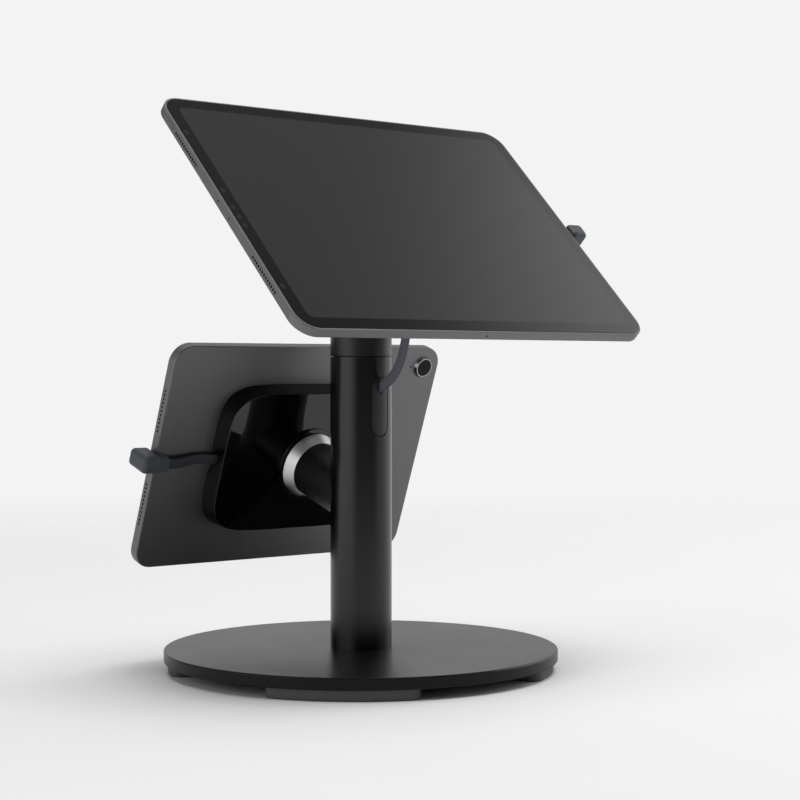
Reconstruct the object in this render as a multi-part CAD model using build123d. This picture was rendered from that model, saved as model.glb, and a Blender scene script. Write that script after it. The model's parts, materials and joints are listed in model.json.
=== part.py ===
from build123d import *
import math
import os

# A free-standing security kiosk stand that holds two tablets, one on each side of a round column.
# Lengths are in millimetres and angles in degrees. Z is up from the counter, the origin is on the
# counter under the column's centre, the front tablet faces -Y and the rear tablet faces +Y.

# Base plate, feet and the hollow stud that holds the column
foot_height = 6.0
foot_width = 20.0
foot_edge_inset = 2.5
foot_arc = 45.6
foot_count = 4
foot_corner = 6.0
foot_edge_round = 0.6
base_radius = 112.0
base_thickness = 6.7
base_edge_round = 0.8
stud_radius = 12.0
stud_bore = 8.0
stud_drop = 5.0
plug_height = 15.3
nut_across_flats = 32.0
nut_height = 4.2
washer_radius = 20.0
washer_thickness = 0.6

# Column, its seam and the bearing of the turning head
column_radius = 17.5
column_wall = 2.5
seam_height = 177.6
seam_washer_thickness = 0.8
seam_washer_inset = 1.5
post_seat_length = 10.0
post_bearing_length = 15.5
post_bore = 9.0
groove_depth = 1.4
groove_height = 5.3
groove_above_seam = 8.6
head_swivel_range = 30.0
screw_radius = 2.5
screw_socket_width = 2.5
screw_socket_depth = 1.6

# Slot in the column, its cover and the ribbon cable
slot_width = 12.3
slot_length = 33.7
slot_below_seam = 11.1
cover_gap = 0.45
cover_depth = 4.85
cover_sink = 0.2
cover_slit_play = 0.6
ribbon_width = 6.3
ribbon_thickness = 2.2
slit_play = 0.35

# Mount axes: where each meets the column's axis, its tilt and the distance to the screen
front_axis_above_seam = 32.8
front_axis_tilt = 45.0
front_reach = 61.24
rear_axis_height = 97.2
rear_axis_tilt = 20.0
rear_reach = 73.53
elbow_bend_radius = 35.0
elbow_end_chamfer = 1.0
rear_arm_radius = 16.4
pivot_radius = 14.0
pivot_bore = 9.0
front_pivot_start = 16.0
rear_pivot_start = 10.5

# Housing behind each tablet, measured back from the tablet's rear face
housing_half_length = 60.4
housing_half_height = 44.8
housing_draft_length = 0.8
housing_draft_height = 2.0
housing_power = 5.3
outline_points = 48
housing_rim = 0.2
housing_ridge = 11.8
housing_ridge_round = 0.35
housing_neck_foot = 15.0
housing_neck_top = 16.5
housing_neck_radius = 22.4
housing_neck_bore = 15.0
housing_wall = 2.5
neck_wall = 2.5
pad_thickness = 1.0
pad_margin = 1.0
plate_thickness = 2.0
plate_play = 0.4
boss_radius = 3.2
boss_from_end = 18.5
boss_from_side = 17.8
housing_screw_radius = 1.4
housing_screw_head = 2.8
housing_screw_head_height = 0.8
housing_screw_length = 7.5
ring_foot = 17.0
ring_top = 23.7
ring_foot_radius = 19.7
ring_top_radius = 16.5
ring_edge = 0.5
hub_flange_radius = 26.0
hub_flange_thickness = 2.5
hub_barrel_radius = 19.4
hub_barrel_top = 13.6
hub_counterbore = 17.0
hub_shoulder = 7.2
pivot_end = 4.0
clip_thickness = 1.4
clip_radius = 16.2
clip_groove_depth = 1.1
clip_opening = 7.0
clip_play = 0.2

# Cable notch in the housing's side and the board that the lead plugs into
notch_low = -8.6
notch_high = 6.1
notch_ramp = 4.7
notch_depth = 1.6
notch_height = 8.4
notch_corner = 2.0
lead_back = 3.7
board_from_end = 32.4
board_length = 18.2
board_height = 24.0
board_thickness = 1.6
socket_length = 6.5
socket_height = 12.0
socket_depth = 4.2

# Front tablet
front_tablet_length = 248.4
front_tablet_height = 179.2
front_tablet_thickness = 5.9
front_tablet_corner = 12.5
front_bezel = 8.6
front_camera_from_end = 13.0
front_camera_from_top = 12.0
front_speaker_starts = (36.0, -60.8)
front_speaker_run = 25.6
front_speaker_holes = 13
front_top_button_from_top = 18.2
front_volume_from_end = (32.0, 46.0)

# Rear tablet
rear_tablet_length = 196.0
rear_tablet_height = 135.4
rear_tablet_thickness = 6.3
rear_tablet_corner = 11.5
rear_bezel = 8.2
rear_camera_from_end = 12.5
rear_camera_from_top = 12.3
rear_speaker_starts = (15.8, -40.7)
rear_speaker_run = 24.2
rear_speaker_holes = 11
rear_top_button_from_top = 27.0
rear_volume_from_end = (24.0, 38.0)

# Built alike in both tablets
case_wall = 2.4
case_floor = 0.9
case_back_round = 0.9
case_front_chamfer = 0.35
rim_drop = 0.15
glass_inset = 1.2
glass_thickness = 0.8
glass_edge_chamfer = 0.15
panel_thickness = 1.1
panel_margin = 2.0
speaker_hole_radius = 0.72
speaker_hole_depth = 1.2
microphone_radius = 0.6
microphone_places = (7.5, -6.1)
microphone_from_camera = 9.5
camera_base_radius = 6.8
camera_top_radius = 5.9
camera_ring_bore = 5.3
camera_height = 1.8
camera_lens_thickness = 0.9
camera_lens_sink = 0.25
battery_length_share = 0.42
battery_height_share = 0.72
battery_thickness = 2.0
logic_length_share = 0.16
logic_height_share = 0.66
logic_thickness = 1.5
inner_part_gap = 6.0
top_button_length = 11.4
volume_button_length = 9.6
button_width = 2.2
button_play = 0.12
button_proud = 0.12
button_flange = 0.5
button_flange_thickness = 0.6
port_width = 9.0
port_height = 3.0
plug_shell_width = 8.3
plug_shell_height = 2.4
plug_shell_depth = 7.4
plug_gap = 1.4
plug_reach = 13.2
plug_half_width = 5.2
plug_front = 1.2
plug_back = 9.9
plug_round = 2.8
sleeve_reach = 5.1
sleeve_drop = 0.9
sleeve_half_width = 4.3
sleeve_near = 1.6
sleeve_far = 7.6
sleeve_corner = 1.4
sleeve_end_round = 0.6

# Clearances and overruns
seat_clearance = 0.05
running_clearance = 0.05
swivel_gap = 0.05
grommet_clearance = 0.1
over = 1.0

# Grommet on the arm's underside
grommet_along = 22.0
grommet_length = 9.6
grommet_width = 5.4
grommet_lip = 1.2
grommet_height = 3.0

# Points chosen by hand along the ribbon cable in the plane X = 0, as Y and the height above the counter
supply_route = ((0.0, 9.0), (0.3, 50.0), (0.2, 90.0), (-0.3, 125.0))
# The same cable outside the column, as Y and the height above the seam
column_route = (
    (-17.5, -16.7), (-22.05, -14.6), (-28.39, -10.83), (-34.05, -3.59), (-37.25, 3.6),
    (-39.8, 14.6), (-38.4, 22.0), (-34.3, 29.65), (-27.93, 36.02),
)
# Points along each plug's lead: outward from the mount axis, upward, and back from the tablet
front_lead_route = (
    (119.1, -1.2, 4.6), (108.0, -1.2, 4.6), (95.0, -0.6, 3.5), (80.5, 0.4, 2.6), (65.5, 0.2, 3.7),
    (51.5, 0.2, 3.7),
)
rear_lead_route = (
    (92.9, -1.2, 4.6), (86.8, -1.2, 4.6), (80.0, -0.5, 3.5), (73.0, 0.5, 2.4), (66.0, 0.6, 2.7),
    (58.5, 0.2, 3.7), (51.5, 0.2, 3.7),
)

# Heights worked out from the sizes above
base_top = foot_height + base_thickness
column_bore = column_radius - column_wall
head_start = seam_height + seam_washer_thickness + swivel_gap
slot_top = seam_height - slot_below_seam
slot_bottom = slot_top - slot_length
front_axis_height = seam_height + front_axis_above_seam
board_start = housing_half_length - board_from_end
column_points = [Vector(0, y, seam_height + z) for y, z in column_route]
pivot_seat = pivot_radius + running_clearance
plate_back = pad_thickness + plate_thickness


def save(name, shape):
    """Write one node's solids to its own STEP file."""
    shape.label = name
    export_step(shape, f"parts/{name}.step")


def tube(outer, inner, low, high):
    """A round tube along Z, or a solid bar where inner is zero."""
    body = Pos(0, 0, low) * Cylinder(outer, high - low, align=(Align.CENTER, Align.CENTER, Align.MIN))
    if inner > 0:
        depth = high - low + 2 * over
        hole = Cylinder(inner, depth, align=(Align.CENTER, Align.CENTER, Align.MIN))
        body = body - Pos(0, 0, low - over) * hole
    return body


def slab(length, height, corner, low, high):
    """A flat plate with rounded corners, square to Z."""
    return Pos(0, 0, low) * extrude(RectangleRounded(length, height, corner), high - low)


def block(x_range, y_range, z_range):
    """A box from its low and high limits along each axis."""
    lows = (x_range[0], y_range[0], z_range[0])
    sides = (x_range[1] - x_range[0], y_range[1] - y_range[0], z_range[1] - z_range[0])
    return Pos(*lows) * Box(*sides, align=(Align.MIN, Align.MIN, Align.MIN))


def obround(length, width, depth, plane):
    """A prism with round ends. Its length runs along the plane's own X axis."""
    return extrude(plane * SlotOverall(length, width), depth)


def corner_radii(points):
    """The largest even arcs that a route's corners can hold, printed for the record."""
    runs = [points[i + 1] - points[i] for i in range(len(points) - 1)]
    radii = []
    for before, after in zip(runs, runs[1:]):
        half_turn = math.radians(before.get_angle(after)) / 2
        radii.append(0.45 * min(before.length, after.length) / math.tan(half_turn))
    return radii


def ribbon(name, points, width_direction):
    """The flat cable along a route, its width held in one direction."""
    points = [Vector(p) for p in points]
    radii = corner_radii(points)
    path = FilletPolyline(*points, radius=radii)
    start = Plane(origin=points[0], x_dir=width_direction, z_dir=points[1] - points[0])
    section = start * SlotOverall(ribbon_width, ribbon_thickness)
    solid = sweep(section, path)
    expected = section.area * path.length
    print(name, "length %.1f" % path.length, "volume/expected %.4f" % (solid.volume / expected))
    print(name, "radii", [round(r, 1) for r in radii])
    return solid


class Tablet:
    """The sizes of one tablet, and its own frame: X to its right, Y up the screen, Z out of it."""

    def __init__(self, side):
        front = side == "front"
        self.side = side
        self.length = front_tablet_length if front else rear_tablet_length
        self.height = front_tablet_height if front else rear_tablet_height
        self.thickness = front_tablet_thickness if front else rear_tablet_thickness
        self.corner = front_tablet_corner if front else rear_tablet_corner
        self.bezel = front_bezel if front else rear_bezel
        self.camera_from_end = front_camera_from_end if front else rear_camera_from_end
        self.camera_from_top = front_camera_from_top if front else rear_camera_from_top
        self.speaker_starts = front_speaker_starts if front else rear_speaker_starts
        self.speaker_run = front_speaker_run if front else rear_speaker_run
        self.speaker_holes = front_speaker_holes if front else rear_speaker_holes
        self.top_button_drop = front_top_button_from_top if front else rear_top_button_from_top
        self.volume_places = front_volume_from_end if front else rear_volume_from_end
        self.lead_route = front_lead_route if front else rear_lead_route
        self.reach = front_reach if front else rear_reach
        facing = -1 if front else 1
        tilt = math.radians(front_axis_tilt if front else rear_axis_tilt)
        axis_height = front_axis_height if front else rear_axis_height
        outward = Vector(0, facing * math.cos(tilt), math.sin(tilt))
        centre = Vector(0, 0, axis_height) + outward * self.reach
        self.frame = Plane(origin=centre, x_dir=Vector(-facing, 0, 0), z_dir=outward)

    def place(self, shape):
        """Move a shape from the tablet's own frame to the stand's frame."""
        return self.frame.location * shape

    def behind(self, distance):
        """The Z of a point that lies this far behind the tablet's rear face."""
        return -self.thickness - distance

    def camera_centre(self):
        return (self.camera_from_end - self.length / 2, self.height / 2 - self.camera_from_top)


def foot_pads():
    """Four rubber pads that follow the plate's rim."""
    outer = base_radius - foot_edge_inset
    half = foot_arc / 2
    pads = []
    for i in range(foot_count):
        middle = (i + 0.5) * 360 / foot_count
        wedge = Sketch() + make_face(
            Polyline(
                (0, 0),
                (2 * outer * math.cos(math.radians(-half)), 2 * outer * math.sin(math.radians(-half))),
                (2 * outer * math.cos(math.radians(half)), 2 * outer * math.sin(math.radians(half))),
                close=True,
            )
        )
        pad = (Circle(outer) - Circle(outer - foot_width)) & wedge
        pad = fillet(pad.vertices(), foot_corner)
        pad = extrude(pad, foot_height)
        pad = chamfer(pad.faces().sort_by(Axis.Z)[0].edges(), foot_edge_round)
        pads.append(Rot(0, 0, middle) * pad)
    return Compound(children=pads)


def base_plate():
    plate = tube(base_radius, stud_radius + grommet_clearance, foot_height, base_top)
    rims = plate.edges().filter_by(GeomType.CIRCLE).filter_by(lambda e: e.radius > base_radius / 2)
    return fillet(rims, base_edge_round)


def column_foot_plug():
    """Welded into the column's foot, with the hollow stud that goes through the plate."""
    plug = tube(column_bore - seat_clearance, stud_bore, base_top, base_top + plug_height)
    stud = tube(stud_radius, stud_bore, foot_height - stud_drop, base_top)
    return plug + stud


def base_nut():
    top = foot_height - washer_thickness
    hexagon = RegularPolygon(nut_across_flats / 2, 6, major_radius=False)
    nut = Pos(0, 0, top - nut_height) * extrude(hexagon, nut_height)
    nut = nut - tube(stud_radius + seat_clearance, 0, 0, foot_height)
    return nut


def slot_prism(shrink, y_near, y_far):
    """The column's obround slot as a prism along -Y, made smaller all round by shrink."""
    centre = (slot_bottom + slot_top) / 2
    length = slot_top - slot_bottom - 2 * shrink
    plane = Plane(origin=(0, -y_near, centre), x_dir=(0, 0, 1), z_dir=(0, -1, 0))
    return obround(length, slot_width - 2 * shrink, y_far - y_near, plane)


def column_tube(rear):
    column = tube(column_radius, column_bore, base_top, seam_height)
    column = column - slot_prism(0, column_bore / 2, column_radius + over)
    hole = tube(pivot_radius + grommet_clearance, 0, -rear.reach, 0)
    return column - rear.place(hole)


def slot_cover():
    """A cover that snaps into the column's slot, with the slit that the ribbon leaves by."""
    outer = column_radius - cover_sink
    cover = slot_prism(cover_gap, column_bore / 2, column_radius + over)
    cover = cover & tube(outer, outer - cover_depth, slot_bottom, slot_top)
    start = column_points[0]
    ahead = column_points[1] - start
    origin = start - ahead.normalized() * column_radius / 2
    plane = Plane(origin=origin, x_dir=(0, ahead.Z, -ahead.Y), z_dir=ahead)
    slit_width = ribbon_thickness + 2 * cover_slit_play
    slit = obround(ribbon_width + 2 * cover_slit_play, slit_width, column_radius, plane)
    return cover - slit


def swivel_post():
    """Fixed in the column's top. The head turns on it, between the ends of its part groove."""
    top = seam_height + post_bearing_length
    post = tube(column_bore - seat_clearance, post_bore, seam_height - post_seat_length, seam_height)
    post = post + tube(pivot_radius, post_bore, seam_height, top)
    floor = pivot_radius - groove_depth
    groove_low = seam_height + groove_above_seam
    groove = tube(pivot_radius + over, floor, groove_low, groove_low + groove_height)
    half = head_swivel_range + math.degrees(math.asin((screw_radius + running_clearance) / floor))
    far = 2 * pivot_radius
    side = far * math.tan(math.radians(half))
    wedge = make_face(Polyline((0, 0), (side, far), (-side, far), close=True))
    wedge = Pos(0, 0, groove_low) * extrude(wedge, groove_height)
    return post - (groove & wedge)


def head_elbow(front):
    """The bent tube above the seam that carries the front mount."""
    low = Vector(0, 0, head_start)
    corner = Vector(0, 0, front_axis_height)
    arm_end = front.frame.origin + front.frame.z_dir * front.behind(ring_top)
    path = FilletPolyline(low, corner, arm_end, radius=elbow_bend_radius)
    start = Plane(origin=low, z_dir=(0, 0, 1))
    outside = sweep(start * Circle(column_radius), path)
    inside = sweep(start * Circle(pivot_seat), path)
    end_rim = outside.faces().sort_by(Axis(low, front.frame.z_dir))[-1].edges()
    elbow = chamfer(end_rim, elbow_end_chamfer) - inside
    elbow = elbow - grommet_prism(front, grommet_clearance, pivot_radius / 2, column_radius + over)
    screw_hole = swivel_screw_bar(running_clearance, pivot_radius / 2, column_radius + over)
    return elbow - screw_hole


def grommet_prism(front, growth, near, far):
    """The obround plug of the arm's grommet, along the arm's underside normal."""
    along = -front.reach + grommet_along
    plane = Plane(origin=(0, -near, along), x_dir=(0, 0, 1), z_dir=(0, -1, 0))
    shape = obround(grommet_length + 2 * growth, grommet_width + 2 * growth, far - near, plane)
    return front.place(shape)


def arm_grommet(front):
    """The rubber grommet that the ribbon goes into, under the front arm."""
    plug = grommet_prism(front, 0, pivot_seat + grommet_clearance, column_radius + grommet_height)
    lip = grommet_prism(front, grommet_lip, pivot_seat, column_radius + grommet_height)
    arm = front.place(tube(column_radius + grommet_clearance, 0, -front.reach, 0))
    grommet = plug + (lip - arm)
    start = column_points[-1]
    back = column_points[-2] - start
    plane = Plane(origin=start - back.normalized() * over, x_dir=(0, back.Z, -back.Y), z_dir=back)
    length = ribbon_width + 2 * grommet_clearance
    width = ribbon_thickness + 2 * grommet_clearance
    return grommet - obround(length, width, back.length + 2 * over, plane)


def swivel_screw_bar(growth, near, far):
    height = seam_height + groove_above_seam + groove_height / 2
    plane = Plane(origin=(0, near, height), z_dir=(0, 1, 0))
    return extrude(plane * Circle(screw_radius + growth), far - near)


def swivel_screw():
    """A grub screw through the head's back, whose tip runs in the post's groove."""
    tip = pivot_radius - groove_depth + running_clearance
    height = seam_height + groove_above_seam + groove_height / 2
    end = column_radius - cover_sink - screw_socket_depth / 2
    bar = swivel_screw_bar(0, tip, end)
    plane = Plane(origin=(0, end - screw_socket_depth, height), z_dir=(0, 1, 0))
    socket = plane * RegularPolygon(screw_socket_width / 2, 6, major_radius=False)
    return bar - extrude(socket, screw_socket_depth + over)


def rear_arm(rear):
    """The short tube between the column and the rear swivel ring, fitted round the column."""
    arm = tube(rear_arm_radius, pivot_seat, -rear.reach, rear.behind(ring_top))
    return rear.place(arm) - tube(column_radius + seat_clearance, 0, 0, seam_height)


def pivot_tube(tablet):
    """The turned tube that the housing swivels on. Cables pass through its bore."""
    start = front_pivot_start if tablet.side == "front" else rear_pivot_start
    top = tablet.behind(pivot_end)
    body = tube(pivot_radius, pivot_bore, start - tablet.reach, top)
    groove_low = tablet.behind(hub_shoulder - clip_play)
    groove_radius = pivot_radius - clip_groove_depth
    groove = tube(pivot_radius + over, groove_radius, groove_low, groove_low + clip_thickness)
    body = body - groove
    if tablet.side == "front":
        origin = (0, -pivot_bore / 2, grommet_along - tablet.reach)
        plane = Plane(origin=origin, x_dir=(0, 0, 1), z_dir=(0, -1, 0))
        body = body - obround(grommet_length, grommet_width, pivot_radius, plane)
    return body


def retaining_ring(tablet):
    """A spring clip in the pivot tube's groove, behind the hub's shoulder."""
    inner = pivot_radius - clip_groove_depth + seat_clearance
    low = tablet.behind(hub_shoulder - clip_play) + seat_clearance / 2
    high = low + clip_thickness - seat_clearance
    clip = tube(clip_radius, inner, low, high)
    gap = block((-clip_opening / 2, clip_opening / 2), (0, 2 * clip_radius), (low - over, high + over))
    return clip - gap


def pivot_hub(tablet):
    """The steel hub on the mount plate that turns on the pivot tube."""
    flange_top = plate_back + hub_flange_thickness
    flange = tube(hub_flange_radius, 0, tablet.behind(flange_top), tablet.behind(plate_back))
    barrel = tube(hub_barrel_radius, 0, tablet.behind(hub_barrel_top), tablet.behind(plate_back))
    counterbore = tube(hub_counterbore, 0, tablet.behind(hub_shoulder), tablet.behind(0))
    bore = tube(pivot_seat, 0, tablet.behind(hub_barrel_top + over), tablet.behind(0))
    return flange + barrel - counterbore - bore


def swivel_ring(tablet):
    """The turned aluminium cone between the housing's neck and the arm."""
    profile = Polyline(
        (pivot_seat, tablet.behind(ring_foot)),
        (ring_foot_radius - ring_edge, tablet.behind(ring_foot)),
        (ring_foot_radius, tablet.behind(ring_foot + ring_edge)),
        (ring_top_radius, tablet.behind(ring_top)),
        (pivot_seat, tablet.behind(ring_top)),
        close=True,
    )
    return revolve(make_face(Plane.XZ * profile), Axis.Z)


def housing_outline(half_length, half_height, height):
    """A squared oval from the superellipse formula, at one height."""
    points = []
    for i in range(outline_points):
        angle = 2 * math.pi * i / outline_points
        across = (abs(math.cos(angle)) / half_length) ** housing_power
        up = (abs(math.sin(angle)) / half_height) ** housing_power
        radius = (across + up) ** (-1 / housing_power)
        points.append((radius * math.cos(angle), radius * math.sin(angle), height))
    return make_face(Spline(*points, periodic=True))


def housing_prism(inset, near, far, tablet):
    face = housing_outline(housing_half_length - inset, housing_half_height - inset, tablet.behind(far))
    return extrude(face, far - near, dir=(0, 0, 1))


def housing_body(inset, neck_inset, near, drop, tablet):
    """The housing's form: straight side, slopes that run in to a round neck, and the neck."""
    half_length = housing_half_length - inset
    half_height = housing_half_height - inset
    ridge = housing_ridge - drop
    foot = housing_neck_foot - drop
    rim_face = housing_outline(half_length, half_height, tablet.behind(near))
    ridge_length = half_length - housing_draft_length
    ridge_height = half_height - housing_draft_height
    ridge_face = housing_outline(ridge_length, ridge_height, tablet.behind(ridge))
    side = loft([ridge_face, rim_face])
    foot_face = Pos(0, 0, tablet.behind(foot)) * Circle(housing_neck_radius - neck_inset)
    slope = loft([ridge_face, foot_face])
    top = tablet.behind(housing_neck_top - drop)
    neck = tube(housing_neck_radius - neck_inset, 0, top, tablet.behind(foot))
    return side + slope + neck


def boss_places():
    across = housing_half_length - boss_from_end
    up = housing_half_height - boss_from_side
    return [(sx * across, sy * up) for sx in (-1, 1) for sy in (-1, 1)]


def mount_housing(tablet):
    """The moulded shell behind the tablet, with its cable notch and its screw bosses."""
    outside = housing_body(0, 0, housing_rim, 0, tablet)
    ridge = outside.edges().filter_by(
        lambda e: abs(e.center().Z - tablet.behind(housing_ridge)) < seat_clearance
    )
    outside = fillet(ridge, housing_ridge_round)
    inside = housing_body(housing_wall, neck_wall, 0, housing_wall, tablet)
    shell = outside - inside
    boss_low = tablet.behind(plate_back + seat_clearance)
    boss = tube(boss_radius, 0, tablet.behind(housing_neck_foot), boss_low)
    for x, y in boss_places():
        shell = shell + (Pos(x, y, 0) * boss & outside)
    deepest = tablet.behind(plate_back + housing_screw_length)
    hole = tube(housing_screw_radius + seat_clearance, 0, deepest, tablet.behind(plate_back))
    for x, y in boss_places():
        shell = shell - Pos(x, y, 0) * hole
    bore = tube(housing_neck_bore, 0, tablet.behind(housing_neck_top + over), tablet.behind(0))
    notch = block(
        (housing_half_length - notch_depth, housing_half_length + over),
        (notch_low, notch_high),
        (tablet.behind(notch_height), tablet.behind(-notch_corner)),
    )
    notch = fillet(notch.edges().filter_by(Axis.X), notch_corner)
    deep = housing_half_length - notch_depth
    ramp = Polyline(
        (deep, notch_low + notch_ramp),
        (deep, notch_high),
        (housing_half_length + over, notch_high),
        (housing_half_length + over, notch_low),
        (housing_half_length, notch_low),
        close=True,
    )
    notch = notch & Pos(0, 0, tablet.behind(housing_ridge)) * extrude(make_face(ramp), housing_ridge * 2)
    slit_start = housing_half_length - 2 * housing_wall - notch_depth
    slit_plane = Plane(
        origin=(slit_start, tablet.lead_route[-1][1], tablet.behind(lead_back)),
        x_dir=(0, 1, 0),
        z_dir=(1, 0, 0),
    )
    slit_width = ribbon_width + 2 * slit_play
    slit = obround(slit_width, ribbon_thickness + 2 * slit_play, 4 * notch_depth, slit_plane)
    pocket_wall = block(
        (deep - housing_wall, housing_half_length),
        (notch_low - housing_wall, notch_high + housing_wall),
        (tablet.behind(housing_ridge), tablet.behind(pad_thickness + plate_play)),
    )
    return (shell + (pocket_wall & outside)) - bore - notch - slit


def mount_plate(tablet):
    """The steel plate in the housing, cut out for the lead and drilled for the screws."""
    inset = housing_wall + plate_play + housing_draft_height * plate_back / housing_ridge
    plate = housing_prism(inset, pad_thickness, plate_back, tablet)
    cut = block(
        (tablet.lead_route[-1][0] - socket_length - plate_play, housing_half_length + over),
        (notch_low - housing_wall - plate_play, notch_high + housing_wall + plate_play),
        (tablet.behind(plate_back + over), tablet.behind(0)),
    )
    plate = plate - cut
    for x, y in boss_places():
        hole = tube(housing_screw_radius + grommet_clearance, 0, tablet.behind(plate_back + over), 0)
        plate = plate - Pos(x, y, 0) * hole
    return plate


def bond_pad(tablet):
    """The adhesive foam sheet between the mount plate and the tablet."""
    inset = housing_wall + plate_play + pad_margin
    pad = housing_prism(inset, 0, pad_thickness, tablet)
    for x, y in boss_places():
        hole = tube(housing_screw_head + plate_play, 0, tablet.behind(pad_thickness + over), 0)
        pad = pad - Pos(x, y, 0) * hole
    return pad


def housing_screws(tablet):
    """Four pan-head screws through the mount plate into the housing's bosses."""
    screws = []
    for x, y in boss_places():
        head_low = tablet.behind(pad_thickness)
        head = tube(housing_screw_head, 0, head_low, head_low + housing_screw_head_height)
        shank = tube(housing_screw_radius, 0, tablet.behind(pad_thickness + housing_screw_length), head_low)
        screws.append(Pos(x, y, 0) * (head + shank))
    return Compound(children=screws)


def charge_board(tablet):
    """The board on the mount plate, with the socket that the plug's lead runs to."""
    board = block(
        (board_start, board_start + board_length),
        (-board_height / 2, board_height / 2),
        (tablet.behind(plate_back + board_thickness), tablet.behind(plate_back)),
    )
    end = tablet.lead_route[-1]
    socket = block(
        (end[0] - socket_length, end[0]),
        (end[1] - socket_height / 2, end[1] + socket_height / 2),
        (tablet.behind(lead_back + socket_depth / 2), tablet.behind(lead_back - socket_depth / 2)),
    )
    return board + socket


def side_bar(tablet, end, up, radius, depth):
    """A round bar along the tablet's X, sunk to a depth in its left (-1) or right (1) end."""
    reach = tablet.length / 2
    low = reach - depth if end > 0 else -reach - over
    plane = Plane(origin=(low, up, -tablet.thickness / 2), z_dir=(1, 0, 0))
    return extrude(plane * Circle(radius), depth + over)


def speaker_holes(tablet):
    """Rows of speaker holes in both short ends."""
    pitch = tablet.speaker_run / (tablet.speaker_holes - 1)
    holes = []
    for end in (-1, 1):
        for start in tablet.speaker_starts:
            for i in range(tablet.speaker_holes):
                up = start + i * pitch
                holes.append(side_bar(tablet, end, up, speaker_hole_radius, speaker_hole_depth))
    return holes


def microphone_holes(tablet):
    """Microphone holes in the left end, in the bottom side and beside the camera."""
    holes = [side_bar(tablet, -1, up, microphone_radius, speaker_hole_depth) for up in microphone_places]
    x, y = tablet.camera_centre()
    beside = tube(microphone_radius, 0, tablet.behind(over), tablet.behind(-case_floor / 2))
    holes.append(Pos(x + microphone_from_camera, y, 0) * beside)
    if tablet.side == "front":
        plane = Plane(
            origin=(0, speaker_hole_depth - tablet.height / 2, -tablet.thickness / 2),
            z_dir=(0, -1, 0),
        )
        holes.append(extrude(plane * Circle(microphone_radius), speaker_hole_depth + over))
    return holes


def button_plane(tablet, name):
    """Where a button's outer face lies: its length along X, and Z out of the case."""
    middle = -tablet.thickness / 2
    if name == "top_button":
        up = tablet.height / 2 - tablet.top_button_drop
        return Plane(origin=(-tablet.length / 2, up, middle), x_dir=(0, 1, 0), z_dir=(-1, 0, 0))
    place = tablet.volume_places[0 if name == "volume_up_button" else 1]
    if tablet.side == "front":
        x = place - tablet.length / 2
        return Plane(origin=(x, tablet.height / 2, middle), x_dir=(1, 0, 0), z_dir=(0, 1, 0))
    up = place - tablet.height / 2
    return Plane(origin=(-tablet.length / 2, up, middle), x_dir=(0, 1, 0), z_dir=(-1, 0, 0))


def button_bar(tablet, name, growth, low, high):
    """A button's obround bar between two depths, measured outward from the case's side."""
    length = top_button_length if name == "top_button" else volume_button_length
    plane = button_plane(tablet, name)
    outline = plane * (Pos(0, 0, low) * SlotOverall(length + 2 * growth, button_width + 2 * growth))
    return extrude(outline, high - low, dir=plane.z_dir)


def button(tablet, name):
    """A key that stands in its slot, held by a flange inside the case."""
    inside = case_wall + button_play
    cap = button_bar(tablet, name, 0, -inside, button_proud)
    flange = button_bar(tablet, name, button_flange, -inside - button_flange_thickness, -inside)
    return cap + flange


def tablet_case(tablet):
    """The machined aluminium case: a tray with the glass let into its front."""
    case = slab(tablet.length, tablet.height, tablet.corner, -tablet.thickness, -rim_drop)
    case = fillet(case.faces().sort_by(Axis.Z)[0].edges(), case_back_round)
    case = chamfer(case.faces().sort_by(Axis.Z)[-1].edges(), case_front_chamfer)
    pocket = glass_inset - seat_clearance
    case = case - slab(
        tablet.length - 2 * pocket,
        tablet.height - 2 * pocket,
        tablet.corner - pocket,
        -glass_thickness - seat_clearance,
        over,
    )
    case = case - slab(
        tablet.length - 2 * case_wall,
        tablet.height - 2 * case_wall,
        tablet.corner - case_wall,
        case_floor - tablet.thickness,
        0,
    )
    case = case - speaker_holes(tablet)
    case = case - microphone_holes(tablet)
    port_plane = Plane(
        origin=(tablet.length / 2 - case_wall - over, 0, -tablet.thickness / 2),
        x_dir=(0, 1, 0),
        z_dir=(1, 0, 0),
    )
    case = case - obround(port_width, port_height, case_wall + 2 * over, port_plane)
    for name in button_names:
        case = case - button_bar(tablet, name, button_play, -case_wall - over, over)
    return case


def tablet_glass(tablet):
    """The cover glass, let into the case."""
    glass = slab(
        tablet.length - 2 * glass_inset,
        tablet.height - 2 * glass_inset,
        tablet.corner - glass_inset,
        -glass_thickness,
        0,
    )
    return chamfer(glass.faces().sort_by(Axis.Z)[-1].edges(), glass_edge_chamfer)


def display_panel(tablet):
    """The display under the glass, a little larger than the lit picture."""
    margin = tablet.bezel - panel_margin
    top = -glass_thickness - seat_clearance
    length = tablet.length - 2 * margin
    height = tablet.height - 2 * margin
    return slab(length, height, tablet.corner - margin, top - panel_thickness, top)


def battery(tablet):
    low = case_floor - tablet.thickness + seat_clearance
    length = tablet.length * battery_length_share
    height = tablet.height * battery_height_share
    middle = -length / 2 - inner_part_gap / 2
    return Pos(middle, 0, 0) * slab(length, height, inner_part_gap / 2, low, low + battery_thickness)


def logic_board(tablet):
    low = case_floor - tablet.thickness + seat_clearance
    length = tablet.length * logic_length_share
    height = tablet.height * logic_height_share
    return Pos(inner_part_gap / 2 + length / 2, 0, 0) * slab(
        length, height, inner_part_gap / 4, low, low + logic_thickness
    )


def camera_ring(tablet):
    """The turned ring that stands round the rear camera."""
    profile = Polyline(
        (camera_ring_bore, tablet.behind(0)),
        (camera_base_radius, tablet.behind(0)),
        (camera_top_radius, tablet.behind(camera_height)),
        (camera_ring_bore, tablet.behind(camera_height)),
        close=True,
    )
    return Pos(*tablet.camera_centre(), 0) * revolve(make_face(Plane.XZ * profile), Axis.Z)


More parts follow.
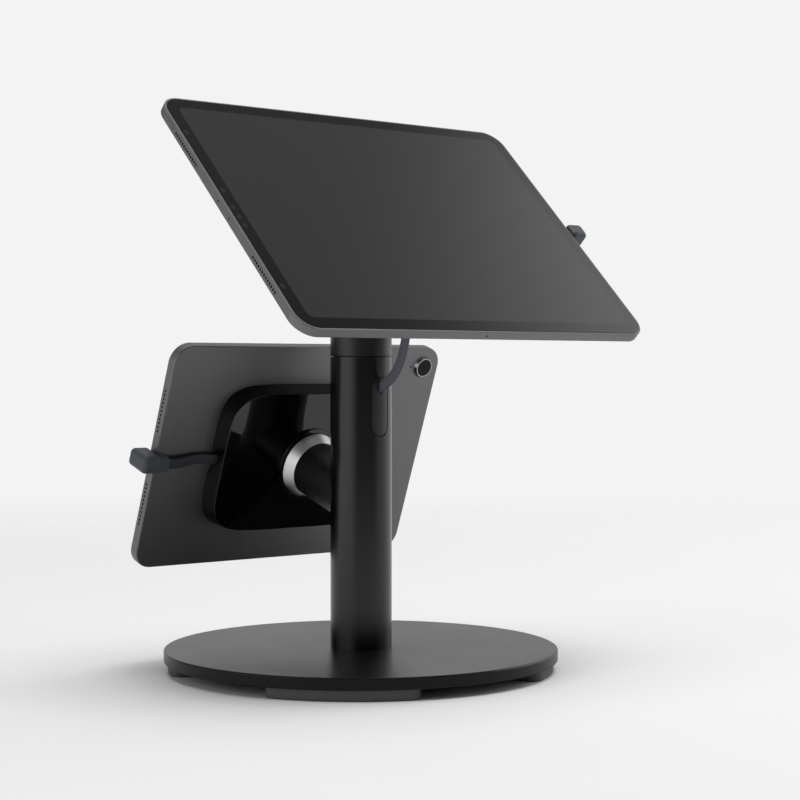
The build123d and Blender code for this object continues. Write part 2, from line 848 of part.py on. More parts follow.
def camera_lens(tablet):
    """The cover glass over the rear camera, seated in its ring."""
    high = camera_height - camera_lens_sink
    radius = camera_ring_bore - seat_clearance
    lens = tube(radius, 0, tablet.behind(high), tablet.behind(high - camera_lens_thickness))
    carrier = tube(radius / 2, 0, tablet.behind(high - camera_lens_thickness), tablet.behind(0))
    return Pos(*tablet.camera_centre(), 0) * (lens + carrier)


def plug_head(tablet):
    """The right-angled plug: a head beyond the tablet's end and a sleeve behind its rear face."""
    edge = tablet.length / 2
    head = block(
        (edge + plug_gap, edge + plug_reach),
        (-plug_half_width, plug_half_width),
        (tablet.behind(plug_back), plug_front),
    )
    head = fillet(head.edges(), plug_round)
    ends = (
        (edge + plug_reach / 2, 0, plug_half_width, plug_back - sleeve_end_round),
        (edge - sleeve_reach, -sleeve_drop, sleeve_half_width, sleeve_far),
    )
    sections = []
    for out, up, half_width, far in ends:
        middle = tablet.behind((sleeve_near + far) / 2)
        plane = Plane(origin=(out, up, middle), x_dir=(0, 1, 0), z_dir=(-1, 0, 0))
        sections.append(plane * RectangleRounded(2 * half_width, far - sleeve_near, sleeve_corner))
    sleeve = loft(sections)
    sleeve = fillet(sleeve.faces().sort_by(Axis.X)[0].edges(), sleeve_end_round)
    return head + sleeve


def plug_shell(tablet):
    """The plug's metal tongue, from the head into the tablet's port."""
    start = tablet.length / 2 + plug_gap
    plane = Plane(origin=(start, 0, -tablet.thickness / 2), x_dir=(0, 1, 0), z_dir=(-1, 0, 0))
    return obround(plug_shell_width, plug_shell_height, plug_shell_depth, plane)


def plug_lead(tablet):
    """The flat lead between the plug's sleeve and the board in the housing."""
    points = [(x, y, tablet.behind(back)) for x, y, back in tablet.lead_route]
    return ribbon(f"{tablet.side}_plug_lead", points, (0, 1, 0))


button_names = ("top_button", "volume_up_button", "volume_down_button")
tablet_pieces = {
    "tablet_case": tablet_case,
    "tablet_glass": tablet_glass,
    "display_panel": display_panel,
    "battery": battery,
    "logic_board": logic_board,
    "camera_ring": camera_ring,
    "camera_lens": camera_lens,
    "plug_head": plug_head,
    "plug_shell": plug_shell,
    "plug_lead": plug_lead,
    "bond_pad": bond_pad,
    "mount_plate": mount_plate,
    "mount_housing": mount_housing,
    "housing_screws": housing_screws,
    "charge_board": charge_board,
    "pivot_hub": pivot_hub,
    "retaining_ring": retaining_ring,
    "swivel_ring": swivel_ring,
    "pivot_tube": pivot_tube,
}

os.makedirs("parts", exist_ok=True)
front_tablet = Tablet("front")
rear_tablet = Tablet("rear")

save("rubber_feet", foot_pads())
save("base_plate", base_plate())
save("column_foot_plug", column_foot_plug())
washer_hole = stud_radius + seat_clearance
save("base_washer", tube(washer_radius, washer_hole, foot_height - washer_thickness, foot_height))
save("base_nut", base_nut())
save("column_tube", column_tube(rear_tablet))
save("slot_cover", slot_cover())
save("swivel_post", swivel_post())
save(
    "swivel_washer",
    tube(
        column_radius - seam_washer_inset,
        pivot_radius + grommet_clearance,
        seam_height,
        seam_height + seam_washer_thickness,
    ),
)
save("head_elbow", head_elbow(front_tablet))
save("swivel_screw", swivel_screw())
save("arm_grommet", arm_grommet(front_tablet))
save("rear_arm", rear_arm(rear_tablet))
slot_exit = column_points[0]
first_run = column_points[1] - slot_exit
supply_bend = slot_exit - first_run * (slot_exit.Y / first_run.Y)
supply_points = [(0, y, z) for y, z in supply_route] + [supply_bend, slot_exit]
save("supply_cable", ribbon("supply_cable", supply_points, (0, 1, 0)))
save("column_cable", ribbon("column_cable", column_points, (0, first_run.Z, -first_run.Y)))

for tablet in (front_tablet, rear_tablet):
    for name, build in tablet_pieces.items():
        save(f"{tablet.side}_{name}", tablet.place(build(tablet)))
    for name in button_names:
        save(f"{tablet.side}_{name}", tablet.place(button(tablet, name)))
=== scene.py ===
import json
import math

import bmesh
import bpy
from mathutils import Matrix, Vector


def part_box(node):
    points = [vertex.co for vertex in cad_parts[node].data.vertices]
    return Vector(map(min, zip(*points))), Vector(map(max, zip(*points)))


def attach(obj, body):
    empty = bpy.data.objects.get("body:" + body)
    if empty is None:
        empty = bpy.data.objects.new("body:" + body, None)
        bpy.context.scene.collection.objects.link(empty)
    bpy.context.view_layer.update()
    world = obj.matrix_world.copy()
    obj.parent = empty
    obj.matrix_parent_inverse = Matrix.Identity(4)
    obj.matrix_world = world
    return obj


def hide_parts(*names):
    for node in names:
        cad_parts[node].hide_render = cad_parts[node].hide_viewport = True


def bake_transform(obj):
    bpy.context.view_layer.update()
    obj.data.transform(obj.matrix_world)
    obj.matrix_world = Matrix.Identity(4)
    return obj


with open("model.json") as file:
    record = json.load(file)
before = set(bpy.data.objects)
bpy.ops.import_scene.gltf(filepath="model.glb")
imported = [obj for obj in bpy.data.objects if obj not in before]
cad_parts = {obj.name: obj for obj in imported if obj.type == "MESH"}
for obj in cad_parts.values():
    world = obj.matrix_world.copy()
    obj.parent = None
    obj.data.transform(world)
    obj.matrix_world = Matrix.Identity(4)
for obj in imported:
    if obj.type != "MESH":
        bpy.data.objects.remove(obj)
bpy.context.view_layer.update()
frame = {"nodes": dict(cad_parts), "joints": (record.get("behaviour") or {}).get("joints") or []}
mm = 0.001


# The camera stands in front and to the left of the stand, a little below the front tablet's top,
# with a long lens.
camera_data = bpy.data.cameras.new("camera")
camera_data.lens = 84.56
camera_data.sensor_width = 36
camera_data.clip_end = 20
camera = bpy.data.objects.new("camera", camera_data)
camera.location = (-680.82 * mm, -827.5 * mm, 171.26 * mm)
camera.rotation_euler = (math.radians(89.04), 0, math.radians(-40.633))
bpy.context.scene.collection.objects.link(camera)
bpy.context.scene.camera = camera
bpy.context.scene.view_settings.view_transform = "Standard"


# The studio is a white backdrop behind the stand and a dim room on the camera's side. Pale panels
# stand at its left and right, one more to the right of the camera and one high on the right. A wide
# one and a faint one hang overhead.
class Field:
    """A value or colour that varies from place to place: one output socket of a node."""

    def __init__(self, tree, socket=None):
        self.tree = tree
        self.socket = socket

    def node(self, kind, settings=None, sockets=None, out=0):
        """Add a node: its settings first, then the values or links of its sockets."""
        node = self.tree.nodes.new(kind)
        for name, value in (settings or {}).items():
            setattr(node, name, value)
        for name, value in (sockets or {}).items():
            if isinstance(value, Field):
                self.tree.links.new(value.socket, node.inputs[name])
            else:
                node.inputs[name].default_value = value
        return Field(self.tree, node.outputs[out])

    def math(self, operation, *values):
        return self.node("ShaderNodeMath", {"operation": operation}, dict(enumerate(values)))

    def __add__(self, other):
        return self.math("ADD", self, other)

    def __radd__(self, other):
        return self.math("ADD", other, self)

    def __sub__(self, other):
        return self.math("SUBTRACT", self, other)

    def __rsub__(self, other):
        return self.math("SUBTRACT", other, self)

    def __mul__(self, other):
        return self.math("MULTIPLY", self, other)

    def __rmul__(self, other):
        return self.math("MULTIPLY", other, self)

    def __truediv__(self, other):
        return self.math("DIVIDE", self, other)

    def __abs__(self):
        return self.math("ABSOLUTE", self)

    def root(self):
        return self.math("SQRT", self)

    def largest(self, other):
        return self.math("MAXIMUM", self, other)

    def smallest(self, other):
        return self.math("MINIMUM", self, other)

    def fade(self, low, high, start=0.0, end=1.0):
        """From start to end, smoothly, as this goes from low to high."""
        return self.node(
            "ShaderNodeMapRange",
            {"interpolation_type": "SMOOTHSTEP"},
            {0: self, 1: low, 2: high, 3: start, 4: end},
        )

    def mix(self, first, second):
        """The first colour where this is 0, and the second where it is 1."""
        colours = {6: first, 7: second}
        for key, colour in colours.items():
            if not isinstance(colour, Field):
                colours[key] = (*colour, 1.0)
        return self.node("ShaderNodeMix", {"data_type": "RGBA"}, {0: self, **colours}, 2)

    def along(self, direction, origin=(0, 0, 0)):
        """How far a point lies from origin along a direction."""
        moved = self.node("ShaderNodeVectorMath", {"operation": "SUBTRACT"}, {0: self, 1: origin})
        return self.node(
            "ShaderNodeVectorMath", {"operation": "DOT_PRODUCT"}, {0: moved, 1: direction}, "Value"
        )


backdrop_white = 0.896
room_grey = 0.09

world = bpy.data.worlds.new("room")
world.use_nodes = True
bpy.context.scene.world = world
room = Field(world.node_tree)
outward = room.node("ShaderNodeTexCoord", out="Generated")
height = outward.along((0, 0, 1))
behind_stand = outward.along((0.651, 0.759, 0)).fade(0.55, 0.8)
camera_side = outward.along((-0.651, -0.759, 0)).fade(0.3, 0.7)
floor_behind = height.fade(-0.03, 0.0, 1.0, 0.0)
floor_by_camera = height.fade(-0.35, -0.12, 1.0, 0.0)
below = floor_behind - camera_side * (floor_behind - floor_by_camera)

overhead = height.fade(0.86, 0.94, 0.0, 1.7)
ceiling = outward.along((0.6, 0.25, 0.76)).fade(0.93, 1.0, 0.0, 0.16)
corner_panel = outward.along((0.68, -0.585, 0.44)).fade(0.88, 0.97, 0.0, 0.9)
right_panel = outward.along((0.98, -0.2, 0)).fade(0.82, 0.98, 0.0, 0.9)
high_panel = outward.along((0.87, 0.06, 0.49)).fade(0.935, 0.995, 0.0, 1.4)
left_panel = outward.along((-0.975, 0.219, 0.05)).fade(0.64, 0.966, 0.0, 1.05)
panels = right_panel.largest(high_panel).largest(corner_panel) + left_panel + overhead + ceiling
level = (room_grey + panels).largest(backdrop_white * behind_stand.largest(below))

seen = room.node("ShaderNodeLightPath", out="Is Camera Ray")
colour = seen.mix(level, (backdrop_white, backdrop_white, backdrop_white))
world.node_tree.links.new(colour.socket, world.node_tree.nodes["Background"].inputs["Color"])


def softbox(name, place, aim, size, power):
    """A rectangular lamp that points at a spot on the stand."""
    data = bpy.data.lights.new(name, "AREA")
    data.shape = "RECTANGLE"
    data.size, data.size_y = size
    data.energy = power
    lamp = bpy.data.objects.new(name, data)
    lamp.location = place
    lamp.rotation_euler = (Vector(aim) - Vector(place)).to_track_quat("-Z", "Y").to_euler()
    bpy.context.scene.collection.objects.link(lamp)


softbox("right softbox", (1.7, -0.2, 0.75), (0, 0, 0.15), (1.0, 0.9), 5)
softbox("left softbox", (-1.7, 0.1, 0.8), (0, 0, 0.15), (0.8, 0.9), 1.5)
softbox("top softbox", (0.1, -0.5, 2.1), (0.1, -0.1, 0), (0.9, 0.9), 12)


# The floor is a large matte white sheet, faintly cloudy. A little way past the stand it thins out
# into the backdrop, so that no horizon shows.
def new_finish(name, **constants):
    """A material with its shader's even values set, and the place of each point on its piece."""
    material = bpy.data.materials.new(name)
    material.use_nodes = True
    shader = material.node_tree.nodes["Principled BSDF"]
    for socket, value in constants.items():
        socket = socket.replace("_", " ")
        if isinstance(value, tuple):
            value = (*value, 1.0)
        shader.inputs[socket].default_value = value
    place = Field(material.node_tree).node("ShaderNodeTexCoord", out="Object")
    return material, place


def feed(material, **fields):
    """Link fields to the shader's sockets."""
    shader = material.node_tree.nodes["Principled BSDF"]
    for socket, field in fields.items():
        socket = socket.replace("_", " ")
        material.node_tree.links.new(field.socket, shader.inputs[socket])


def new_piece(name, mesh, material):
    """Put a mesh into the scene, with its material."""
    piece = bpy.data.objects.new(name, mesh)
    bpy.context.scene.collection.objects.link(piece)
    piece.data.materials.append(material)
    return piece


floor_finish, place = new_finish("floor", Base_Color=(0.92, 0.92, 0.92), Roughness=0.9)
cloud = place.node("ShaderNodeTexNoise", {}, {"Vector": place, "Scale": 3.0}, "Fac")
feed(floor_finish, Base_Color=cloud.mix((0.9, 0.9, 0.9), (0.93, 0.93, 0.93)))
distance = place.node("ShaderNodeVectorMath", {"operation": "LENGTH"}, {0: place}, "Value")
tree = floor_finish.node_tree
shader = Field(tree, tree.nodes["Principled BSDF"].outputs[0])
clear = place.node("ShaderNodeBsdfTransparent")
thinned = place.node(
    "ShaderNodeMixShader", {}, {0: distance.fade(0.35, 1.6), 1: shader, 2: clear}
)
tree.links.new(thinned.socket, tree.nodes["Material Output"].inputs["Surface"])

reach = 4.0
corners = [(-reach, -reach, 0), (reach, -reach, 0), (reach, reach, 0), (-reach, reach, 0)]
floor_mesh = bpy.data.meshes.new("floor")
floor_mesh.from_pydata(corners, [], [(0, 1, 2, 3)])
floor = new_piece("floor", floor_mesh, floor_finish)


# The base is a turned steel disc, powder coated satin black. Rubber pads under its rim keep it off
# the counter, and a plated nut and washer hold the column's hollow stud from below.
def dress(node, material):
    """Give a CAD node its material."""
    materials = frame["nodes"][node].data.materials
    materials.clear()
    materials.append(material)


def bump(field, strength, depth):
    """The relief of a surface, from a field and its depth in metres."""
    return field.node(
        "ShaderNodeBump", {}, {"Strength": strength, "Distance": depth, "Height": field}
    )


def noise(place, scale, detail=2.0):
    """Even mottling, with this many spots to the metre."""
    return place.node(
        "ShaderNodeTexNoise", {}, {"Vector": place, "Scale": scale, "Detail": detail}, "Fac"
    )


def powder_coat(name, dark, light, roughness, gloss=0.5):
    """Sprayed powder that has flowed out: a fine even grain and a faint orange peel."""
    material, place = new_finish(name, Specular_IOR_Level=gloss)
    peel = noise(place, 700)
    cloud = noise(place, 25, 3.0)
    feed(
        material,
        Base_Color=cloud.mix(dark, light),
        Roughness=cloud.fade(0.3, 0.7, roughness - 0.01, roughness + 0.01),
        Normal=bump(peel, 0.25, 0.05 * mm),
    )
    return material


plate_coat = powder_coat("plate coat", (0.006, 0.006, 0.0065), (0.008, 0.008, 0.0085), 0.34, 0.16)
dress("base_plate", plate_coat)


def rubber(name, colour, roughness=0.75):
    """Moulded rubber: fine matte grain with a little bloom."""
    material, place = new_finish(name, Specular_IOR_Level=0.35)
    bloom = noise(place, 60, 4.0)
    grain = noise(place, 2500, 1.0)
    pale = tuple(1.25 * c + 0.004 for c in colour)
    feed(
        material,
        Base_Color=bloom.mix(colour, pale),
        Roughness=bloom.fade(0.3, 0.7, roughness - 0.06, roughness + 0.06),
        Normal=bump(grain, 0.2, 0.04 * mm),
    )
    return material


foot_rubber = rubber("foot rubber", (0.08, 0.08, 0.082))
dress("rubber_feet", foot_rubber)


def plated_steel(name, lines_along, bright=(0.5, 0.5, 0.52)):
    """Machined, zinc plated steel with fine tool lines across one direction."""
    material, place = new_finish(name, Metallic=1.0)
    lines = noise(place.along(lines_along), 6000)
    cloud = noise(place, 180)
    dull = tuple(0.75 * c for c in bright)
    feed(
        material,
        Base_Color=cloud.mix(dull, bright),
        Roughness=lines.fade(0.2, 0.8, 0.28, 0.42),
        Normal=bump(lines, 0.12, 0.03 * mm),
    )
    return material


turned_steel = plated_steel("turned steel", (0, 0, 1))
for node in ("column_foot_plug", "base_washer", "base_nut", "swivel_post", "swivel_screw"):
    dress(node, turned_steel)


# The column is a steel tube under a satin black coat. A thin plastic washer shows as the dark seam
# where the turning head stands on it.
column_coat = powder_coat("column coat", (0.0015, 0.0015, 0.0017), (0.0022, 0.0022, 0.0024), 0.24)
dress("column_tube", column_coat)


def moulding(name, colour, roughness):
    """Moulded plastic with a fine spark-eroded grain."""
    material, place = new_finish(name)
    grain = noise(place, 1800, 1.0)
    cloud = noise(place, 40, 3.0)
    pale = tuple(1.15 * c + 0.001 for c in colour)
    feed(
        material,
        Base_Color=cloud.mix(colour, pale),
        Roughness=cloud.fade(0.3, 0.7, roughness - 0.04, roughness + 0.04),
        Normal=bump(grain, 0.2, 0.03 * mm),
    )
    return material


dress("swivel_washer", moulding("slide washer", (0.002, 0.002, 0.002), 0.6))


# The slot cover is a moulded clip in the column's slot. The flat ribbon cable leaves by its slit,
# rises in a short bow and goes up behind the front arm. The same cable comes up inside the column.
dress("slot_cover", moulding("cover moulding", (0.008, 0.008, 0.0085), 0.38))


def cable_jacket(name, dark, light):
    """A cable's dull slate jacket, with a fine grain and a soft bloom."""
    material, place = new_finish(name, Specular_IOR_Level=0.45)
    bloom = noise(place, 90, 3.0)
    grain = noise(place, 1600)
    feed(
        material,
        Base_Color=bloom.mix(dark, light),
        Roughness=bloom.fade(0.3, 0.7, 0.5, 0.6),
        Normal=bump(grain, 0.15, 0.04 * mm),
    )
    return material


jacket = cable_jacket("cable jacket", (0.066, 0.071, 0.088), (0.08, 0.086, 0.105))
dress("supply_cable", jacket)

ribbon_width = 6.3 * mm
ribbon_thickness = 2.2 * mm
edge_steps = 8


def spline_points(name, route):
    """Points along the smooth curve that a route's points control."""
    curve = bpy.data.curves.new(name, "CURVE")
    curve.dimensions = "3D"
    curve.resolution_u = 16
    spline = curve.splines.new("NURBS")
    spline.points.add(len(route) - 1)
    for point, place in zip(spline.points, route):
        point.co = (*place, 1.0)
    spline.order_u = 3
    spline.use_endpoint_u = True
    holder = bpy.data.objects.new(name, curve)
    mesh = bpy.data.meshes.new_from_object(holder)
    points = [v.co.copy() for v in mesh.vertices]
    bpy.data.objects.remove(holder)
    bpy.data.curves.remove(curve)
    bpy.data.meshes.remove(mesh)
    return points


def ribbon_piece(name, points, flat_way, material):
    """The flat cable: one width of jacket with round edges, swept along points."""
    half_flat = (ribbon_width - ribbon_thickness) / 2
    radius = ribbon_thickness / 2
    section = []
    for side in (1, -1):
        for i in range(edge_steps + 1):
            angle = math.pi * (i / edge_steps - 0.5)
            across = half_flat + radius * math.cos(angle)
            section.append((side * across, side * radius * math.sin(angle)))
    count = len(section)
    shape = bmesh.new()
    rings = []
    for i, point in enumerate(points):
        ahead = points[min(i + 1, len(points) - 1)] - points[max(i - 1, 0)]
        ahead.normalize()
        thick = (flat_way - ahead * flat_way.dot(ahead)).normalized()
        wide = thick.cross(ahead)
        rings.append([shape.verts.new(point + wide * a + thick * b) for a, b in section])
    for before, after in zip(rings, rings[1:]):
        for i in range(count):
            j = (i + 1) % count
            shape.faces.new((before[i], before[j], after[j], after[i]))
    shape.faces.new(list(reversed(rings[0])))
    shape.faces.new(rings[-1])
    bmesh.ops.recalc_face_normals(shape, faces=shape.faces)
    mesh = bpy.data.meshes.new(name)
    shape.to_mesh(mesh)
    shape.free()
    for face in mesh.polygons:
        face.use_smooth = len(face.vertices) == 4
    return new_piece(name, mesh, material)


def lay_cable(name, node, route, flat_way, material):
    """A length of flat cable along a route, in place of its CAD node."""
    path = spline_points(name, route)
    piece = ribbon_piece(name, path, flat_way, material)
    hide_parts(node)
    return piece


seam_height = 177.6
column_route = (
    (-17.5, -16.7), (-22.05, -14.6), (-28.39, -10.83), (-34.05, -3.59), (-37.25, 3.6),
    (-39.8, 14.6), (-38.4, 22.0), (-34.3, 29.65), (-27.93, 36.02),
)
column_points = [Vector((0, y, seam_height + z)) * mm for y, z in column_route]
column_cable = lay_cable(
    "column_ribbon", "column_cable", column_points, Vector((1, 0, 0)), jacket
)
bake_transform(column_cable)


# The head is a bent steel tube with a matte black coat, locked by a grub screw at its back. The
# rear arm is a short straight tube of the same make, welded to the column.
arm_coat = powder_coat("arm coat", (0.0015, 0.0015, 0.0017), (0.0025, 0.0025, 0.0027), 0.38)
dress("head_elbow", arm_coat)
dress("rear_arm", arm_coat)
dress("arm_grommet", foot_rubber)


# On each arm a turned aluminium cone covers the joint between arm and housing. The steel pivot
# tube, its spring clip and the hub lie inside it.
sides = ("front", "rear")
joints = {joint["name"]: joint for joint in frame["joints"]}
centres = {side: Vector(joints[f"{side}_mount_spin"]["pos_m"]) for side in sides}
normals = {side: Vector(joints[f"{side}_mount_spin"]["axis"]) for side in sides}
rights = {"front": Vector((1, 0, 0)), "rear": Vector((-1, 0, 0))}
ups = {side: normals[side].cross(rights[side]) for side in sides}


def turned_aluminium(name, side):
    """Lathe-turned aluminium, blasted and clear anodised, with the tool's rings left faint."""
    material, place = new_finish(name, Metallic=1.0)
    deep = place.along(normals[side], centres[side])
    rings = noise(deep.node("ShaderNodeCombineXYZ", {}, {0: deep}), 5000)
    grain = noise(place, 3000, 1.0)
    feed(
        material,
        Base_Color=grain.mix((0.62, 0.62, 0.63), (0.7, 0.7, 0.71)),
        Roughness=rings.fade(0.3, 0.7, 0.3, 0.4),
        Normal=bump(rings + grain, 0.15, 0.03 * mm),
    )
    return material


for side in sides:
    dress(f"{side}_swivel_ring", turned_aluminium(f"{side} cone", side))
    axis_steel = plated_steel(f"{side} pivot steel", normals[side])
    for node in ("pivot_tube", "retaining_ring", "pivot_hub"):
        dress(f"{side}_{node}", axis_steel)


# Each mount housing is a gloss black moulding, screwed to a steel plate that a foam pad bonds to
# the tablet. The charging board sits on the plate.
def gloss_moulding(name):
    """Polished black plastic: deep and clear, with hairline wiping marks."""
    material, place = new_finish(name, Coat_Weight=0.15, Coat_Roughness=0.04)
    wipes = noise(place, 220, 5.0)
    waves = noise(place, 18, 1.0)
    feed(
        material,
        Base_Color=waves.mix((0.0015, 0.0015, 0.0017), (0.0025, 0.0025, 0.0027)),
        Roughness=wipes.fade(0.35, 0.75, 0.03, 0.06),
    )
    return material


def board_finish(name):
    """A green circuit board with tracks in rows under the solder mask."""
    material, place = new_finish(name)
    tracks = place.node(
        "ShaderNodeTexBrick",
        {"offset": 0.37},
        {"Vector": place, "Scale": 400.0, "Mortar Size": 0.06},
        "Fac",
    )
    feed(
        material,
        Base_Color=tracks.mix((0.015, 0.1, 0.045), (0.03, 0.17, 0.08)),
        Roughness=tracks.fade(0, 1, 0.4, 0.3),
        Normal=bump(tracks, 0.2, 0.03 * mm),
    )
    return material


housing_gloss = gloss_moulding("housing gloss")
board = board_finish("circuit board")
for side in sides:
    plate_steel = plated_steel(f"{side} plate steel", rights[side])
    dress(f"{side}_mount_housing", housing_gloss)
    dress(f"{side}_mount_plate", plate_steel)
    dress(f"{side}_housing_screws", plate_steel)
    dress(f"{side}_bond_pad", rubber(f"{side} bond foam", (0.04, 0.04, 0.04), 0.9))
    dress(f"{side}_charge_board", board)
    dress(f"{side}_logic_board", board)


# Each tablet's case is machined from grey anodised aluminium and blasted matte, and its keys are
# of the same metal. The walls of the speaker holes and the socket in its ends are painted near
# black as painted shade, and so is the wall of the microphone beside the camera.
half_lengths = {"front": 124.2 * mm, "rear": 98.0 * mm}
half_heights = {"front": 89.6 * mm, "rear": 67.7 * mm}
thicknesses = {"front": 5.9 * mm, "rear": 6.3 * mm}
case_grey = (0.2, 0.2, 0.207)
painted_hole_shade = (0.002, 0.002, 0.002)
hole_depth = 1.6 * mm
hole_half_height = 1.85 * mm
holes_from_corner = 16 * mm
microphone_from_camera = 9.5 * mm
microphone_edge = (0.64 * mm, 0.7 * mm)

camera_middles = {}
for side in sides:
    lowest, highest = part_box(f"{side}_camera_lens")
    camera_middles[side] = (Vector(lowest) + Vector(highest)) / 2


def blasted_aluminium(name, side, holes=True):
    """Fine bead-blasted metal under grey anodising, with painted shade inside its holes if it has
    any.
    """
    material, place = new_finish(name, Metallic=1.0)
    grain = noise(place, 5000, 1.0)
    cloud = noise(place, 30)
    dark = tuple(0.94 * c for c in case_grey)
    colour = cloud.mix(dark, case_grey)
    if holes:
        across = abs(place.along(rights[side], centres[side]))
        up = abs(place.along(ups[side], centres[side]))
        deep = abs(place.along(normals[side], centres[side]) + thicknesses[side] / 2)
        end = half_lengths[side]
        top = half_heights[side]
        # The walls of the end holes are painted near black: painted shade inside the holes.
        sunk = across.fade(end - 0.2 * mm, end - 0.1 * mm, 1.0, 0.0)
        sunk = sunk * across.fade(end - hole_depth - 0.1 * mm, end - hole_depth)
        middle = deep.fade(hole_half_height, hole_half_height + 0.05 * mm, 1.0, 0.0)
        straight = up.fade(top - holes_from_corner - 1 * mm, top - holes_from_corner, 1.0, 0.0)
        colour = (sunk * middle * straight).mix(colour, painted_hole_shade)
        # The microphone hole's wall is painted near black as well: painted shade.
        microphone = camera_middles[side] + rights[side] * microphone_from_camera
        x = place.along(rights[side], microphone)
        y = place.along(ups[side], microphone)
        hole = (x * x + y * y).root().fade(*microphone_edge, 1.0, 0.0)
        face = thicknesses[side] / 2
        inside = deep.fade(face - 0.05 * mm, face, 1.0, 0.0)
        colour = (hole * inside).mix(colour, painted_hole_shade)
    feed(
        material,
        Base_Color=colour,
        Roughness=grain.fade(0.3, 0.7, 0.5, 0.58),
        Normal=bump(grain, 0.12, 0.02 * mm),
    )
    return material


key_metal = blasted_aluminium("key metal", "front", holes=False)
for side in sides:
    dress(f"{side}_tablet_case", blasted_aluminium(f"{side} case metal", side))
    for key in ("top_button", "volume_up_button", "volume_down_button"):
        dress(f"{side}_{key}", key_metal)


# The cover glass is bonded in flush, printed black round the display, with a row of small sensors
# at one end of the front tablet. The display's film and the battery's pouch lie behind it.
bezels = {"front": 8.6 * mm, "rear": 8.2 * mm}
display_corner = 4.0 * mm
display_edge_blur = 0.08 * mm
sensor_across = -120 * mm
sensor_heights = (59.3, 13.2, -0.1, -7.2, -14.0, -59.0)
sensor_half_width = 1.3 * mm
sensor_half_height = 1.8 * mm


def cover_glass(side):
    """Clear glass over a black printed border and a display that is switched off."""
    material, place = new_finish(f"{side} glass", Coat_Weight=0.0)
    across = place.along(rights[side], centres[side])
    up = place.along(ups[side], centres[side])
    over_x = abs(across) - (half_lengths[side] - bezels[side] - display_corner)
    over_y = abs(up) - (half_heights[side] - bezels[side] - display_corner)
    out_x = over_x.largest(0.0)
    out_y = over_y.largest(0.0)
    corner = (out_x * out_x + out_y * out_y).root()
    edge = corner + over_x.largest(over_y).smallest(0.0) - display_corner
    display = edge.fade(-display_edge_blur, display_edge_blur, 1.0, 0.0)
    cells = noise(place, 900, 1.0)
    glow = cells.mix((0.0215, 0.0215, 0.022), (0.0245, 0.0245, 0.025))
    colour = display.mix((0.0015, 0.0015, 0.0017), glow)
    if side == "front":
        for height in sensor_heights:
            x = (across - sensor_across) / sensor_half_width
            y = (up - height * mm) / sensor_half_height
            spot = (x * x + y * y).fade(0.85, 1.15, 1.0, 0.0)
            colour = spot.mix(colour, (0.022, 0.022, 0.025))
    feed(material, Base_Color=colour, Roughness=display.fade(0, 1, 0.12, 0.2))
    return material


def pouch(name):
    """The battery's foil pouch, wrinkled and dull."""
    material, place = new_finish(name, Metallic=0.6)
    folds = noise(place, 120, 5.0)
    feed(
        material,
        Base_Color=folds.mix((0.06, 0.06, 0.065), (0.12, 0.12, 0.125)),
        Roughness=folds.fade(0.3, 0.7, 0.35, 0.6),
        Normal=bump(folds, 0.3, 0.3 * mm),
    )
    return material


foil = pouch("battery foil")
display_film = moulding("display film", (0.02, 0.02, 0.022), 0.3)
for side in sides:
    dress(f"{side}_tablet_glass", cover_glass(side))
    dress(f"{side}_display_panel", display_film)
    dress(f"{side}_battery", foil)


# The camera on each tablet's back stands in a turned and polished ring, under a dark cover glass
# with the barrel and the iris just showing in it.
iris_edge = (1.5 * mm, 1.7 * mm)
barrel_edge = (3.55 * mm, 3.65 * mm)
lip_inner_edge = (3.6 * mm, 3.75 * mm)
lip_outer_edge = (3.95 * mm, 4.1 * mm)


def polished_ring(name):
    """Diamond-cut aluminium, bright and nearly smooth."""
    material, place = new_finish(name, Metallic=1.0)
    cuts = noise(place, 4000, 1.0)
    feed(
        material,
        Base_Color=cuts.mix((0.3, 0.3, 0.31), (0.36, 0.36, 0.37)),
        Roughness=cuts.fade(0.3, 0.7, 0.2, 0.28),
    )
    return material


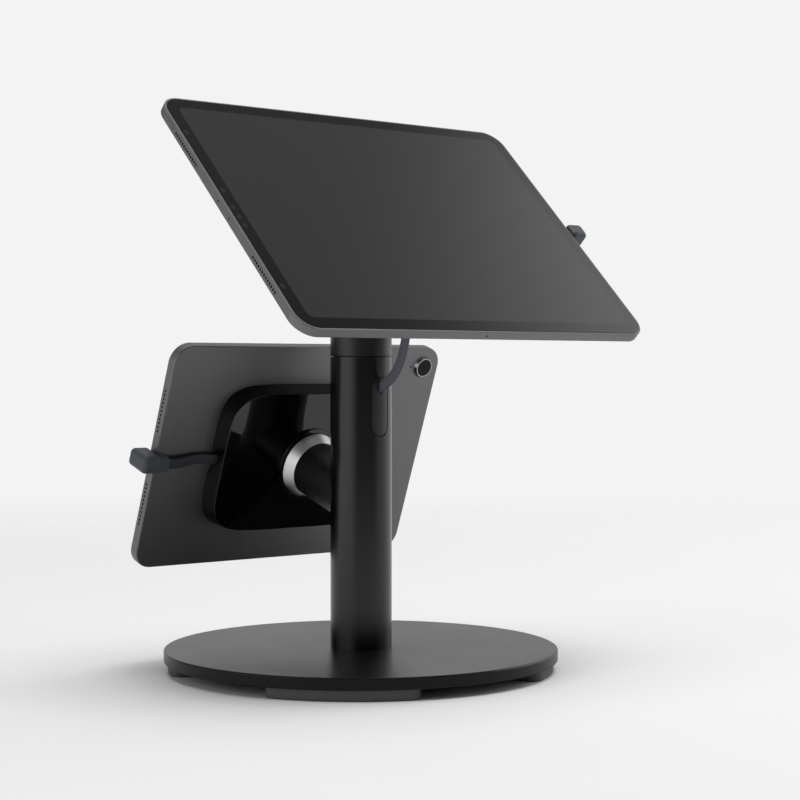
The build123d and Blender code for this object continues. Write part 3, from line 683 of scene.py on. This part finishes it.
def lens_glass(side):
    """Coated glass, nearly black, with the barrel's rings and the small iris showing through."""
    material, place = new_finish(f"{side} camera glass", Specular_IOR_Level=0.12)
    across = place.along(rights[side], camera_middles[side])
    up = place.along(ups[side], camera_middles[side])
    out = (across * across + up * up).root()
    barrel = out.fade(*barrel_edge, 1.0, 0.0) * out.fade(*iris_edge)
    lip = out.fade(*lip_inner_edge) * out.fade(*lip_outer_edge, 1.0, 0.0)
    smear = noise(place, 300)
    colour = barrel.mix((0.004, 0.004, 0.005), (0.012, 0.012, 0.013))
    feed(
        material,
        Base_Color=lip.mix(colour, (0.028, 0.028, 0.03)),
        Roughness=smear.fade(0.3, 0.7, 0.06, 0.1),
    )
    return material


ring_metal = polished_ring("camera ring metal")
for side in sides:
    dress(f"{side}_camera_ring", ring_metal)
    dress(f"{side}_camera_lens", lens_glass(side))


# Each right-angled plug is moulded round a steel tongue. Its flat lead runs back along the tablet
# into the housing's notch. Its jacket is the column cable's jacket painted darker: painted shade.
plug_moulding = moulding("plug moulding", (0.044, 0.053, 0.064), 0.5)
# The lead's jacket colours are painted shade: the same cable jacket, darkened.
lead_jacket_painted_shade = cable_jacket("lead jacket", (0.026, 0.028, 0.035), (0.034, 0.036, 0.045))
lead_routes = {
    "front": (
        (119.1, -1.2, 4.6), (108.0, -1.2, 4.6), (95.0, -0.6, 3.5), (80.5, 0.4, 2.6),
        (65.5, 0.2, 3.7), (51.5, 0.2, 3.7),
    ),
    "rear": (
        (92.9, -1.2, 4.6), (86.8, -1.2, 4.6), (80.0, -0.5, 3.5), (73.0, 0.5, 2.4),
        (66.0, 0.6, 2.7), (58.5, 0.2, 3.7), (51.5, 0.2, 3.7),
    ),
}
for side in sides:
    dress(f"{side}_plug_head", plug_moulding)
    dress(f"{side}_plug_shell", turned_steel)
    tablet_back = centres[side] - normals[side] * thicknesses[side]
    lead_points = [
        tablet_back + (rights[side] * x + ups[side] * y - normals[side] * behind) * mm
        for x, y, behind in lead_routes[side]
    ]
    lead = lay_cable(
        f"{side}_lead_ribbon", f"{side}_plug_lead", lead_points, normals[side], lead_jacket_painted_shade
    )
    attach(lead, f"{side}_mount")
